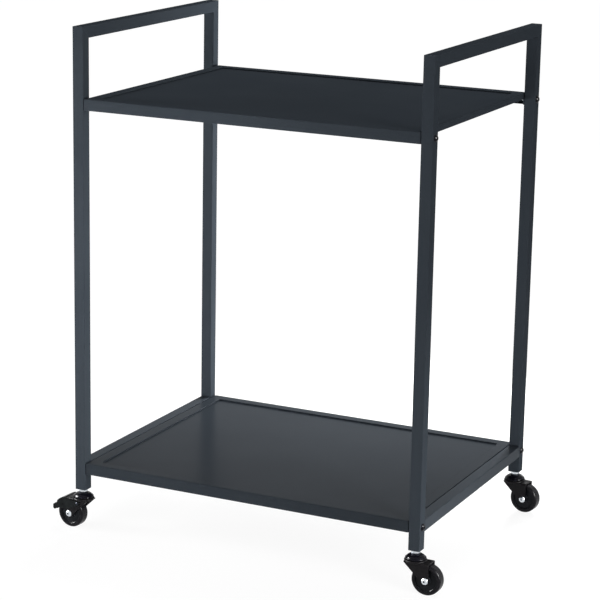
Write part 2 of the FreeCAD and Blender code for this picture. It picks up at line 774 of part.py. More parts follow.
def make_brake_pedal():
    """The brake pedal, raised: two cheeks on the pin, a web behind the tread and a rolled tip."""
    body = new_body("brake_pedal")
    over = size["cut_overrun"]
    web_start = fork_tail + size["pedal_start"]
    web_end = size["trail"] + size["wheel_radius"]
    boss = size["pedal_boss"]
    race_square = size["race_radius"] * size["race_radius"]
    shoulder = root(race_square - pedal_inner_half * pedal_inner_half) + size["shoulder_gap"]
    tongue_end = web_end + size["tongue_reach"]
    roll = size["tongue_roll"]
    roll_x = tongue_end - roll
    roll_z = size["wheel_radius"] + size["tongue_rise"]
    neck_x = roll_x - roll * NECK_SHARES[0]
    neck_z = roll_z + roll * NECK_SHARES[1]
    side = sketch_on(body, "XZ_Plane")
    outline(side, ((pin_x, pin_z + boss), (pin_x - boss, pin_z, boss), (pin_x, pin_z - boss, boss),
                   (size["trail"], size["wheel_radius"] + size["cheek_rise"]),
                   (size["trail"] + size["heel_reach"], size["wheel_radius"] + size["heel_rise"]),
                   (roll_x, roll_z - roll), (tongue_end, roll_z, roll),
                   (roll_x, roll_z + roll, roll), (neck_x, neck_z, roll),
                   (web_end, on_web(web_end)), (web_start, on_web(web_start), web_outer),
                   (shoulder, pin_z + boss)))
    pad(body, side, pedal_outer_half * 2, True)

    gap = sketch_on(body, "XZ_Plane")
    box_outline(gap, -size["fork_nose"], web_start, NOTHING, cap_top)
    pocket(body, gap, pedal_inner_half * 2, True)
    tread = sketch_on(body, "XZ_Plane")
    circle(tread, size["trail"], size["wheel_radius"], web_inner)
    pocket(body, tread, pedal_inner_half * 2, True)

    half = size["tongue_half_width"]
    corner_start = tongue_end - size["tongue_corner"]
    tongue_neck = tongue_end - size["tongue_length"]
    for end in ENDS.values():
        plan = sketch_on(body, "XY_Plane", cap_top)
        turn = size["tongue_corner"] * -end
        outline(plan, ((tongue_neck, (pedal_outer_half + over) * end),
                       (tongue_neck, half * end), (corner_start, half * end),
                       (tongue_end, (half - size["tongue_corner"]) * end, turn),
                       (tongue_end + over, (half - size["tongue_corner"]) * end),
                       (tongue_end + over, (pedal_outer_half + over) * end)))
        pocket(body, plan)

    pins = sketch_on(body, "XZ_Plane")
    circle(pins, pin_x, pin_z, size["pin_radius"] + size["running_gap"])
    pocket(body, pins, None, True)
    return body


def make_ball():
    ball = doc.addObject("Part::Sphere", "swivel_ball")
    ball.setExpression("Radius", size["ball_radius"].text)
    doc.recompute()
    return ball


# Placing the pieces

nodes = {}


def place(name, source, where):
    """One more copy of a piece, under its own name and in its own place."""
    link = doc.addObject("App::Link", name)
    link.LinkedObject = source
    link.Label = name
    link.Placement = where
    nodes[name] = link
    return link


def place_group(name, source, places):
    """Several copies of one piece in a single node."""
    group = doc.addObject("Part::Compound", name)
    copies = []
    for number, where in enumerate(places, start=1):
        copy = doc.addObject("App::Link", "%s_%d" % (name, number))
        copy.LinkedObject = source
        copy.Placement = where
        copies.append(copy)
    group.Links = copies
    group.Label = name
    nodes[name] = group


def at(x, y, z, turn=0):
    """A place in the cart, turned about Z by degrees."""
    point = [part.value if isinstance(part, Size) else part for part in (x, y, z)]
    return Placement(Vector(*point), Rotation(Vector(0, 0, 1), turn))


HALF_TURN = 180

leg = make_leg()
handle_bar = make_handle_bar()
crossbar = make_crossbar()
leg_socket = make_leg_socket()
shelf = make_shelf()
shelf_bolt = make_shelf_bolt()
shelf_nut = make_shelf_nut()

for side, side_sign in SIDES.items():
    for end, end_sign in ENDS.items():
        turn = 0 if end == "front" else HALF_TURN
        foot = at(leg_x * side_sign, leg_y * end_sign, leg_lift, turn)
        place("%s_%s_leg" % (side, end), leg, foot)
        place("%s_%s_leg_socket" % (side, end), leg_socket, foot)
    bar_height = size["frame_height"] - tube_half
    place("%s_handle_bar" % side, handle_bar, at(leg_x * side_sign, NOTHING, bar_height))
    crossbar_middle = size["lower_shelf_height"] - tube_half
    place("%s_crossbar" % side, crossbar, at(leg_x * side_sign, NOTHING, crossbar_middle))

for level, height in SHELF_HEIGHTS.items():
    place("%s_shelf" % level, shelf, at(NOTHING, NOTHING, height))
    bolt_places = []
    nut_places = []
    for side_sign in SIDES.values():
        turn = 0 if side_sign > 0 else HALF_TURN
        for end_sign in ENDS.values():
            head_x = size["frame_width"] / 2
            across = leg_y * end_sign
            bolt_places.append(at(head_x * side_sign, across, height - bolt_drop, turn))
            nut_places.append(at((head_x - nut_seat) * side_sign, across, height - bolt_drop, turn))
    place_group("%s_shelf_bolts" % level, shelf_bolt, bolt_places)
    place_group("%s_shelf_nuts" % level, shelf_nut, nut_places)

caster_pieces = {
    "stem": make_stem(),
    "stem_nut": make_stem_nut(),
    "swivel_cap": make_swivel_cap(),
    "axle": make_axle(),
    "wheel_core": make_wheel_core(),
    "tyre": make_tyre(),
}
plain_fork = make_fork("plain_fork", False)
braked_fork = make_fork("braked_fork", True)
brake_pieces = {"brake_pedal": make_brake_pedal(), "brake_pin": make_brake_pin()}
ball = make_ball()
ball_turns = [FULL_TURN * index / BALL_COUNT for index in range(BALL_COUNT)]
ball_offset = Vector(ball_circle.value, 0, ball_middle.value)

for (end, side), turn in CASTER_TURNS.items():
    caster = at(leg_x * SIDES[side], leg_y * ENDS[end], NOTHING, turn.value)
    prefix = "%s_%s" % (side, end)
    for piece, source in caster_pieces.items():
        place("%s_%s" % (prefix, piece), source, caster)
    braked = side == "left"
    place("%s_fork" % prefix, braked_fork if braked else plain_fork, caster)
    ball_places = []
    for ball_turn in ball_turns:
        around = Placement(Vector(), Rotation(Vector(0, 0, 1), ball_turn))
        ball_places.append(caster * around * Placement(ball_offset, Rotation()))
    place_group("%s_swivel_balls" % prefix, ball, ball_places)
    if braked:
        for piece, source in brake_pieces.items():
            place("%s_%s" % (prefix, piece), source, caster)

doc.recompute()

# Checks, and one file for each node

for item in doc.Objects:
    if "Invalid" in item.State or "Error" in item.State:
        raise RuntimeError("%s is %s" % (item.Label, item.State))

shapes = {name: Part.getShape(item) for name, item in nodes.items()}
for name, shape in shapes.items():
    if shape.isNull() or not shape.isValid() or not shape.Solids:
        raise RuntimeError("%s has no valid shape" % name)

os.makedirs("parts", exist_ok=True)
for name, shape in shapes.items():
    shape.exportStep(os.path.join("parts", name + ".step"))
print("%d nodes, %d solids" % (len(shapes), sum(len(shape.Solids) for shape in shapes.values())))
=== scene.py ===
import json
import math

import bmesh
import bpy
from mathutils import Matrix, Vector


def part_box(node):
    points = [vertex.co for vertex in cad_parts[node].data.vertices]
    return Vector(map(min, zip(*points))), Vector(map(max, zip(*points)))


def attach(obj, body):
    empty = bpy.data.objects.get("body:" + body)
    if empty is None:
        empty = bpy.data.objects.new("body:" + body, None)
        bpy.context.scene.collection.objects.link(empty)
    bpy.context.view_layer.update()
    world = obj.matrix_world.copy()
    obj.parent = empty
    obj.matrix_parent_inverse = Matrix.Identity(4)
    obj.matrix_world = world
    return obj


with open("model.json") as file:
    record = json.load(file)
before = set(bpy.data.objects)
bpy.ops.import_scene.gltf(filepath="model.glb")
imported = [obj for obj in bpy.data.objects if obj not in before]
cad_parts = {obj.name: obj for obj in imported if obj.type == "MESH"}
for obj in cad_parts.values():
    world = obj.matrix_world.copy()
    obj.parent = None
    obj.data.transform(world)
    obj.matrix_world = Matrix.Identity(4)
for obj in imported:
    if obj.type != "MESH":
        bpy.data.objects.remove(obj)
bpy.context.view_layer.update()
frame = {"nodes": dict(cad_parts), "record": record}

# The serving cart dressed for its photograph: the camera, soft studio light, a white floor,
# painted and plated finishes, and the small weld beads, ribs and moulding lines of the real thing.
# Lengths are in metres, angles in degrees and colours linear.

SIDES = ("left", "right")
ENDS = {"front": -1, "back": 1}
BRAKED_SIDE = "left"
UP = Vector((0, 0, 1))
WHITE = (1, 1, 1, 1)


# Camera

IMAGE_SIDE = 600
SENSOR_WIDTH = 36
FOCAL_LENGTH_PIXELS = 2197.6
CAMERA_PLACE = (1.5687, -3.2978, 1.3122)
CAMERA_YAW = 25.616
CAMERA_PITCH = 14.1035
CAMERA_ROLL = 1.0741
CLIP_NEAR = 0.1
CLIP_FAR = 60


def make_camera():
    angles = (CAMERA_YAW, CAMERA_PITCH, CAMERA_ROLL)
    yaw, pitch, roll = (math.radians(angle) for angle in angles)
    ahead = Vector((
        -math.sin(yaw) * math.cos(pitch),
        math.cos(yaw) * math.cos(pitch),
        -math.sin(pitch),
    ))
    level_right = Vector((math.cos(yaw), math.sin(yaw), 0))
    level_up = level_right.cross(ahead)
    right = level_right * math.cos(roll) + level_up * math.sin(roll)
    up = level_up * math.cos(roll) - level_right * math.sin(roll)
    data = bpy.data.cameras.new("photo_camera")
    data.sensor_fit = "HORIZONTAL"
    data.sensor_width = SENSOR_WIDTH
    data.lens = FOCAL_LENGTH_PIXELS * SENSOR_WIDTH / IMAGE_SIDE
    data.clip_start = CLIP_NEAR
    data.clip_end = CLIP_FAR
    camera = bpy.data.objects.new("photo_camera", data)
    bpy.context.scene.collection.objects.link(camera)
    turn = Matrix((right, up, -ahead)).transposed().to_4x4()
    camera.matrix_world = Matrix.Translation(CAMERA_PLACE) @ turn
    bpy.context.scene.camera = camera


bpy.context.scene.view_settings.view_transform = "Standard"
make_camera()


# Node tools for the materials

MIX_SHARE, MIX_FIRST, MIX_SECOND, MIX_RESULT = 0, 6, 7, 2
RANGE_SOCKETS = ("From Min", "From Max", "To Min", "To Max")
EDGE_SAMPLES = 4
EDGE_LIMITS = (1.0, 0.8)
HOLLOW_SAMPLES = 8
HOLLOW_LIMITS = (0.95, 0.5)


class Finish:
    """A node material with one Principled shader and short calls for its textures."""

    def __init__(self, name, colour, roughness, metallic=0.0, specular=0.5):
        self.material = bpy.data.materials.new(name)
        self.material.use_nodes = True
        self.nodes = self.material.node_tree.nodes
        self.links = self.material.node_tree.links
        self.shader = self.nodes["Principled BSDF"]
        self.shader.inputs["Base Color"].default_value = (*colour, 1)
        self.shader.inputs["Roughness"].default_value = roughness
        self.shader.inputs["Metallic"].default_value = metallic
        self.shader.inputs["Specular IOR Level"].default_value = specular
        self.place = self.nodes.new("ShaderNodeTexCoord").outputs["Object"]

    def noise(self, scale, detail):
        texture = self.nodes.new("ShaderNodeTexNoise")
        texture.inputs["Scale"].default_value = scale
        texture.inputs["Detail"].default_value = detail
        self.links.new(self.place, texture.inputs["Vector"])
        return texture.outputs["Fac"]

    def spread(self, value, low, high, out_low=0.0, out_high=1.0):
        """The value stretched from one range to another."""
        node = self.nodes.new("ShaderNodeMapRange")
        self.links.new(value, node.inputs["Value"])
        for socket, number in zip(RANGE_SOCKETS, (low, high, out_low, out_high)):
            node.inputs[socket].default_value = number
        return node.outputs["Result"]

    def patches(self, noise, limits):
        """A noise of its own, stretched to its limits."""
        return self.spread(self.noise(*noise), *limits)

    def product(self, first, second):
        node = self.nodes.new("ShaderNodeMath")
        node.operation = "MULTIPLY"
        for socket, value in zip(node.inputs, (first, second)):
            if isinstance(value, float):
                socket.default_value = value
            else:
                self.links.new(value, socket)
        return node.outputs["Value"]

    def blend(self, share, first, second):
        """A colour between two, by a share from 0 to 1."""
        node = self.nodes.new("ShaderNodeMix")
        node.data_type = "RGBA"
        self.links.new(share, node.inputs[MIX_SHARE])
        for number, colour in ((MIX_FIRST, first), (MIX_SECOND, second)):
            if isinstance(colour, tuple):
                node.inputs[number].default_value = (*colour, 1)
            else:
                self.links.new(colour, node.inputs[number])
        return node.outputs[MIX_RESULT]

    def edges(self, radius):
        """About 1 on the object's sharp edges and 0 on its flats."""
        bevel = self.nodes.new("ShaderNodeBevel")
        bevel.samples = EDGE_SAMPLES
        bevel.inputs["Radius"].default_value = radius
        flat = self.nodes.new("ShaderNodeNewGeometry").outputs["Normal"]
        product = self.nodes.new("ShaderNodeVectorMath")
        product.operation = "DOT_PRODUCT"
        self.links.new(bevel.outputs["Normal"], product.inputs[0])
        self.links.new(flat, product.inputs[1])
        return self.spread(product.outputs["Value"], *EDGE_LIMITS)

    def hollows(self, reach):
        """0 in the open and 1 deep in corners, gaps and dimples."""
        occlusion = self.nodes.new("ShaderNodeAmbientOcclusion")
        occlusion.samples = HOLLOW_SAMPLES
        occlusion.inputs["Distance"].default_value = reach
        return self.spread(occlusion.outputs["AO"], *HOLLOW_LIMITS)

    def colour(self, value):
        self.links.new(value, self.shader.inputs["Base Color"])

    def roughness(self, value):
        self.links.new(value, self.shader.inputs["Roughness"])

    def bump(self, *layers):
        """Stacked bumps, each of a height, a strength and a depth."""
        normal = None
        for height, strength, depth in layers:
            node = self.nodes.new("ShaderNodeBump")
            node.inputs["Strength"].default_value = strength
            node.inputs["Distance"].default_value = depth
            self.links.new(height, node.inputs["Height"])
            if normal is not None:
                self.links.new(normal, node.inputs["Normal"])
            normal = node.outputs["Normal"]
        self.links.new(normal, self.shader.inputs["Normal"])


# Powder coat

# In this and the next finishes, a noise is its scale and its detail. Limits are the two values of
# a noise that become 0 and 1, or that become the last two where there are four. A bump is its
# strength and its depth.

COAT_COLOUR = (0.034, 0.041, 0.049)
COAT_ROUGHNESS = 0.42
COAT_DARK = (0.0325, 0.039, 0.0475)
COAT_PALE = (0.0365, 0.0435, 0.052)
COAT_FLECK_COLOUR = (0.027, 0.033, 0.040)
COAT_WORN_AND_HIGHLIGHT_COLOUR = (0.065, 0.074, 0.088)
COAT_SHADOW_COLOUR = (0.010, 0.012, 0.016)
COAT_CLOUD = (5, 2)
COAT_CLOUD_LIMITS = (0.35, 0.65)
COAT_FLECK = (900, 2)
COAT_FLECK_LIMITS = (0.35, 0.75, 0, 0.5)
COAT_FLECK_BUMP = (0.1, 0.0003)
COAT_PEEL = (420, 3)
COAT_PEEL_BUMP = (0.1, 0.0005)
COAT_WEAR_AND_HIGHLIGHT = (60, 4)
COAT_WEAR_AND_HIGHLIGHT_LIMITS = (0.4, 0.7, 0.25, 0.7)
COAT_EDGE_RADIUS = 0.0012
COAT_HOLLOW_REACH = 0.004
COAT_SHADOW_SHARE = 0.8
COAT_SMEAR = (24, 4)
COAT_SMEAR_LIMITS = (0.3, 0.7)
MATTE_ROUGHNESSES = (0.34, 0.48)
SATIN_ROUGHNESSES = (0.22, 0.27)
MATTE_GLOSS = 0.0
SATIN_GLOSS = 0.008
SHELF_GLOSS = 0.009
SHELF_PAINTED_SHADE_SHARE = 0.72


def powder_coat(name, gloss, roughnesses, painted_shade_share=1.0):
    """Dark blue-grey powder coat: a fine orange peel, flecks, edges paler by wear and by painted
    highlight, and painted shade in corners and gaps.
    """
    finish = Finish(name, COAT_COLOUR, COAT_ROUGHNESS, specular=gloss)
    cloud = finish.patches(COAT_CLOUD, COAT_CLOUD_LIMITS)
    fleck = finish.noise(*COAT_FLECK)
    peel = finish.noise(*COAT_PEEL)
    # With a share below 1, all of the coat's colours are darkened: a painted shade.
    dark, pale, speck = (
        tuple(part * painted_shade_share for part in colour)
        for colour in (COAT_DARK, COAT_PALE, COAT_FLECK_COLOUR)
    )
    clouded = finish.blend(cloud, dark, pale)
    flecked = finish.blend(finish.spread(fleck, *COAT_FLECK_LIMITS), clouded, speck)
    # Edges paler in patches: part real wear, part painted highlight along the rounded edges.
    patchiness = finish.patches(COAT_WEAR_AND_HIGHLIGHT, COAT_WEAR_AND_HIGHLIGHT_LIMITS)
    worn_and_highlit = finish.product(finish.edges(COAT_EDGE_RADIUS), patchiness)
    paled = finish.blend(worn_and_highlit, flecked, COAT_WORN_AND_HIGHLIGHT_COLOUR)
    shadow = finish.product(finish.hollows(COAT_HOLLOW_REACH), COAT_SHADOW_SHARE)
    finish.colour(finish.blend(shadow, paled, COAT_SHADOW_COLOUR))
    finish.roughness(finish.patches(COAT_SMEAR, (*COAT_SMEAR_LIMITS, *roughnesses)))
    finish.bump((peel, *COAT_PEEL_BUMP), (fleck, *COAT_FLECK_BUMP))
    return finish.material


# Black paint of the caps, bolts and forks

BLACK_EDGE_RADIUS = 0.0006
BLACK_WEAR = (300, 4)
BLACK_WEAR_LIMITS = (0.45, 0.7, 0, 0.4)
BLACK_SMEAR = (90, 4)
GLOSS_COLOUR = (0.0045, 0.0045, 0.0075)
GLOSS_WORN_COLOUR = (0.04, 0.04, 0.045)
GLOSS_ROUGHNESS = 0.18
GLOSS_SPECULAR = 0.08
GLOSS_SMEAR_LIMITS = (0.3, 0.7, 0.14, 0.24)
GLOSS_RIPPLE = (500, 2)
GLOSS_RIPPLE_BUMP = (0.06, 0.0002)
COARSE_COLOUR = (0.009, 0.0085, 0.0095)
COARSE_DARK = (0.007, 0.0066, 0.0075)
COARSE_PALE = (0.016, 0.015, 0.016)
COARSE_WORN_COLOUR = (0.05, 0.05, 0.052)
COARSE_ROUGHNESS = 0.34
COARSE_SPECULAR = 0.05
COARSE_SMEAR_LIMITS = (0.3, 0.7, 0.26, 0.42)
COARSE_GRAIN = (1100, 2)
COARSE_GRAIN_LIMITS = (0.4, 0.7)
COARSE_GRAIN_BUMP = (0.3, 0.0003)


def black_wear(finish):
    """The share of paint that is rubbed off along the edges."""
    patchiness = finish.patches(BLACK_WEAR, BLACK_WEAR_LIMITS)
    return finish.product(finish.edges(BLACK_EDGE_RADIUS), patchiness)


def gloss_black():
    finish = Finish("gloss_black", GLOSS_COLOUR, GLOSS_ROUGHNESS, specular=GLOSS_SPECULAR)
    finish.colour(finish.blend(black_wear(finish), GLOSS_COLOUR, GLOSS_WORN_COLOUR))
    finish.roughness(finish.patches(BLACK_SMEAR, GLOSS_SMEAR_LIMITS))
    finish.bump((finish.noise(*GLOSS_RIPPLE), *GLOSS_RIPPLE_BUMP))
    return finish.material


def coarse_black():
    """The grainier black of the pressed forks."""
    finish = Finish("coarse_black", COARSE_COLOUR, COARSE_ROUGHNESS, specular=COARSE_SPECULAR)
    grain = finish.noise(*COARSE_GRAIN)
    speckled = finish.blend(finish.spread(grain, *COARSE_GRAIN_LIMITS), COARSE_DARK, COARSE_PALE)
    finish.colour(finish.blend(black_wear(finish), speckled, COARSE_WORN_COLOUR))
    finish.roughness(finish.patches(BLACK_SMEAR, COARSE_SMEAR_LIMITS))
    finish.bump((grain, *COARSE_GRAIN_BUMP))
    return finish.material


# Plated and bare steel

ZINC_CLOUD = (220, 4)
ZINC_CLOUD_LIMITS = (0.3, 0.7)
ZINC_HOLLOW_REACH = 0.003
ZINC_HOLLOW_SHADE_COLOUR = (0.02, 0.022, 0.028)
ZINC_SMEAR = (500, 4)
ZINC_SMEAR_LIMITS = (0.3, 0.7)
ZINC_ROUGHNESS_SPREAD = 0.08
ZINC_GRAIN = (900, 3)
ZINC_GRAIN_BUMP = (0.08, 0.0003)
BRIGHT_ZINC_DARK = (0.52, 0.56, 0.6)
BRIGHT_ZINC_LIGHT = (0.72, 0.75, 0.78)
BRIGHT_ZINC_ROUGHNESS = 0.24
DARK_ZINC_DARK = (0.012, 0.013, 0.018)
DARK_ZINC_LIGHT = (0.03, 0.032, 0.04)
DARK_ZINC_ROUGHNESS = 0.42
STEEL_COLOUR = (0.76, 0.76, 0.78)
STEEL_ROUGHNESS = 0.12
STEEL_SMEAR = (700, 3)
STEEL_SMEAR_LIMITS = (0.3, 0.7, 0.08, 0.2)
STEEL_GRAIN = (900, 2)
STEEL_GRAIN_BUMP = (0.03, 0.0001)


def zinc_plate(name, dark, light, roughness):
    """Cloudy zinc plate, with painted shade darkening its hollows."""
    finish = Finish(name, light, roughness, metallic=1.0)
    cloud = finish.blend(finish.patches(ZINC_CLOUD, ZINC_CLOUD_LIMITS), dark, light)
    # Hollows, such as the dimples in the axle heads, are darkened: painted shade.
    finish.colour(finish.blend(finish.hollows(ZINC_HOLLOW_REACH), cloud, ZINC_HOLLOW_SHADE_COLOUR))
    roughnesses = (roughness - ZINC_ROUGHNESS_SPREAD, roughness + ZINC_ROUGHNESS_SPREAD)
    finish.roughness(finish.patches(ZINC_SMEAR, (*ZINC_SMEAR_LIMITS, *roughnesses)))
    finish.bump((finish.noise(*ZINC_GRAIN), *ZINC_GRAIN_BUMP))
    return finish.material


def bearing_steel():
    finish = Finish("bearing_steel", STEEL_COLOUR, STEEL_ROUGHNESS, metallic=1.0)
    finish.roughness(finish.patches(STEEL_SMEAR, STEEL_SMEAR_LIMITS))
    finish.bump((finish.noise(*STEEL_GRAIN), *STEEL_GRAIN_BUMP))
    return finish.material


# Rubber and plastic

RUBBER_COLOUR = (0.0075, 0.0073, 0.009)
RUBBER_DARK = (0.007, 0.0068, 0.0085)
RUBBER_PALE = (0.014, 0.0135, 0.015)
RUBBER_ROUGHNESS = 0.26
RUBBER_SPECULAR = 0.08
RUBBER_SCUFF = (160, 4)
RUBBER_SCUFF_LIMITS = (0.45, 0.7, 0, 0.6)
RUBBER_SMEAR_LIMITS = (0.3, 0.7, 0.18, 0.36)
RUBBER_GRAIN = (1400, 3)
RUBBER_GRAIN_BUMP = (0.1, 0.0002)
PLASTIC_SPECULAR = 0.07
PLASTIC_FLOW = (120, 3)
PLASTIC_FLOW_LIMITS = (0.35, 0.7)
PLASTIC_SMEAR = (60, 3)
PLASTIC_SMEAR_LIMITS = (0.3, 0.7)
PLASTIC_SMOOTHER = 0.06
PLASTIC_ROUGHER = 0.08
PLASTIC_GRAIN = (1300, 2)
PLASTIC_GRAIN_BUMP = (0.1, 0.0002)
CORE_DARK = (0.006, 0.0068, 0.0085)
CORE_PALE = (0.011, 0.012, 0.014)
CORE_ROUGHNESS = 0.24
PEDAL_DARK = (0.0045, 0.0055, 0.006)
PEDAL_PALE = (0.009, 0.0105, 0.011)
PEDAL_ROUGHNESS = 0.3


def rubber():
    finish = Finish("tread_rubber", RUBBER_COLOUR, RUBBER_ROUGHNESS, specular=RUBBER_SPECULAR)
    scuff = finish.noise(*RUBBER_SCUFF)
    scuffed = finish.spread(scuff, *RUBBER_SCUFF_LIMITS)
    finish.colour(finish.blend(scuffed, RUBBER_DARK, RUBBER_PALE))
    finish.roughness(finish.spread(scuff, *RUBBER_SMEAR_LIMITS))
    finish.bump((finish.noise(*RUBBER_GRAIN), *RUBBER_GRAIN_BUMP))
    return finish.material


def moulded(name, dark, pale, roughness):
    """Moulded plastic with faint flow marks."""
    finish = Finish(name, dark, roughness, specular=PLASTIC_SPECULAR)
    finish.colour(finish.blend(finish.patches(PLASTIC_FLOW, PLASTIC_FLOW_LIMITS), dark, pale))
    roughnesses = (roughness - PLASTIC_SMOOTHER, roughness + PLASTIC_ROUGHER)
    finish.roughness(finish.patches(PLASTIC_SMEAR, (*PLASTIC_SMEAR_LIMITS, *roughnesses)))
    finish.bump((finish.noise(*PLASTIC_GRAIN), *PLASTIC_GRAIN_BUMP))
    return finish.material


paints = {
    "matte_coat": powder_coat("matte_powder_coat", MATTE_GLOSS, MATTE_ROUGHNESSES),
    "satin_coat": powder_coat("satin_powder_coat", SATIN_GLOSS, SATIN_ROUGHNESSES),
    # The lower shelf's coat is a darker copy of the satin coat: painted shade.
    "shelf_coat": powder_coat(
        "satin_shelf_coat", SHELF_GLOSS, SATIN_ROUGHNESSES, SHELF_PAINTED_SHADE_SHARE
    ),
    "gloss_black": gloss_black(),
    "coarse_black": coarse_black(),
    "zinc": zinc_plate(
        "zinc_plate", BRIGHT_ZINC_DARK, BRIGHT_ZINC_LIGHT, BRIGHT_ZINC_ROUGHNESS
    ),
    "dark_zinc": zinc_plate(
        "dark_zinc_plate", DARK_ZINC_DARK, DARK_ZINC_LIGHT, DARK_ZINC_ROUGHNESS
    ),
    "bearing_steel": bearing_steel(),
    "tyre": rubber(),
    "wheel_core": moulded("wheel_core_plastic", CORE_DARK, CORE_PALE, CORE_ROUGHNESS),
    "pedal": moulded("pedal_plastic", PEDAL_DARK, PEDAL_PALE, PEDAL_ROUGHNESS),
}


# Mesh pieces

def add_piece(name, mesh, paint, body):
    mesh.materials.append(paints[paint])
    for polygon in mesh.polygons:
        polygon.use_smooth = True
    piece = bpy.data.objects.new(name, mesh)
    bpy.context.scene.collection.objects.link(piece)
    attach(piece, body)


def swept(name, points, radii, sides, closed=False):
    """A round bead along a path or round a loop, with a radius at each point."""
    bm = bmesh.new()
    rings = []
    last = len(points) - 1
    for index, point in enumerate(points):
        if closed:
            before, after = points[index - 1], points[(index + 1) % len(points)]
        else:
            before, after = points[max(index - 1, 0)], points[min(index + 1, last)]
        turn = (after - before).normalized().to_track_quat("Z", "Y").to_matrix()
        ring = []
        for number in range(sides):
            angle = math.tau * number / sides
            offset = turn @ Vector((math.cos(angle), math.sin(angle), 0)) * radii[index]
            ring.append(bm.verts.new(point + offset))
        rings.append(ring)
    following_rings = rings[1:] + rings[:1] if closed else rings[1:]
    for ring, following in zip(rings, following_rings):
        for number in range(sides):
            after = (number + 1) % sides
            bm.faces.new((ring[number], ring[after], following[after], following[number]))
    if not closed:
        bm.faces.new(list(reversed(rings[0])))
        bm.faces.new(rings[-1])
    bmesh.ops.recalc_face_normals(bm, faces=bm.faces)
    mesh = bpy.data.meshes.new(name)
    bm.to_mesh(mesh)
    bm.free()
    return mesh


# Weld beads, moulding lines and grip ribs

WELD_RADIUS = 0.0011
WELD_END_INSET = 0.0012
WELD_END_SHARE = 0.02
WELD_RIPPLES = 7
WELD_RIPPLE_SHARE = 0.14
WELD_POINTS = 57
WELD_SIDES = 12
PARTING_LINE_RADIUS = 0.00012
PARTING_LINE_POINTS = 96
PARTING_LINE_SIDES = 6
ROLL_AHEAD = 0.0324
ROLL_RISE = 0.006
ROLL_RADIUS = 0.005
RIB_RADIUS = 0.00035
RIB_END_SHARE = 0.1414214
RIB_HALF_LENGTH = 0.0068
RIB_ANGLES = (15, 50, 85)
RIB_POINTS = 9
RIB_SIDES = 8


def weld_bead(name, start, end):
    """A rippled bead, tapered at both ends, along the corner of two tubes."""
    points = []
    radii = []
    for number in range(WELD_POINTS):
        share = number / (WELD_POINTS - 1)
        taper_share = WELD_END_SHARE + share * (1 - 2 * WELD_END_SHARE)
        taper = math.sqrt(math.sin(math.pi * taper_share))
        ripple = 1 + WELD_RIPPLE_SHARE * math.sin(math.tau * WELD_RIPPLES * share)
        points.append(start.lerp(end, share))
        radii.append(WELD_RADIUS * taper * ripple)
    mesh = swept(name, points, radii, WELD_SIDES)
    add_piece(name, mesh, "matte_coat", "cart_frame")


def make_weld_beads(side):
    """The beads inside a side frame's corners and under its crossbar."""
    bar_low, bar_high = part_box(f"{side}_handle_bar")
    crossbar_low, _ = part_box(f"{side}_crossbar")
    left, right = bar_low.x + WELD_END_INSET, bar_high.x - WELD_END_INSET
    for end, way in ENDS.items():
        leg_low, leg_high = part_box(f"{side}_{end}_leg")
        inner = leg_high.y if way < 0 else leg_low.y
        for place, height in (("handle", bar_low.z), ("crossbar", crossbar_low.z)):
            start, finish = Vector((left, inner, height)), Vector((right, inner, height))
            weld_bead(f"{side}_{end}_{place}_weld", start, finish)


def joint_line(name):
    """A joint's place and direction."""
    joints = frame["record"]["behaviour"]["joints"]
    joint = next(row for row in joints if row["name"] == name)
    return Vector(joint["pos_m"]), Vector(joint["axis"]).normalized()


def make_parting_line(caster):
    """The fine moulding line round the middle of a tread."""
    centre, axis = joint_line(f"{caster}_wheel_roll")
    low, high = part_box(f"{caster}_tyre")
    radius = (high.z - low.z) / 2
    ahead = axis.cross(UP)
    points = []
    for number in range(PARTING_LINE_POINTS):
        angle = math.tau * number / PARTING_LINE_POINTS
        points.append(centre + (ahead * math.cos(angle) + UP * math.sin(angle)) * radius)
    name = f"{caster}_parting_line"
    radii = [PARTING_LINE_RADIUS] * PARTING_LINE_POINTS
    mesh = swept(name, points, radii, PARTING_LINE_SIDES, closed=True)
    add_piece(name, mesh, "tyre", f"{caster}_wheel")


def make_grip_ribs(caster):
    """Three ribs along the rolled tip of a brake pedal."""
    wheel, axis = joint_line(f"{caster}_wheel_roll")
    stem, _ = joint_line(f"{caster}_swivel_turn")
    ahead = Vector((wheel.x - stem.x, wheel.y - stem.y, 0)).normalized()
    roll = wheel + ahead * ROLL_AHEAD + UP * ROLL_RISE
    end_radius = RIB_RADIUS * RIB_END_SHARE
    radii = [end_radius] + [RIB_RADIUS] * (RIB_POINTS - 2) + [end_radius]
    for number, angle in enumerate(RIB_ANGLES, 1):
        turn = math.radians(angle)
        middle = roll + (ahead * math.cos(turn) + UP * math.sin(turn)) * ROLL_RADIUS
        points = []
        for step in range(RIB_POINTS):
            across = 2 * step / (RIB_POINTS - 1) - 1
            points.append(middle + axis * (RIB_HALF_LENGTH * across))
        name = f"{caster}_pedal_rib_{number}"
        mesh = swept(name, points, radii, RIB_SIDES)
        add_piece(name, mesh, "pedal", f"{caster}_brake_pedal")


for side in SIDES:
    make_weld_beads(side)
for side in SIDES:
    for end in ENDS:
        make_parting_line(f"{side}_{end}")
        if side == BRAKED_SIDE:
            make_grip_ribs(f"{side}_{end}")


# Paints of the solids, each found by the first ending that fits the node's name

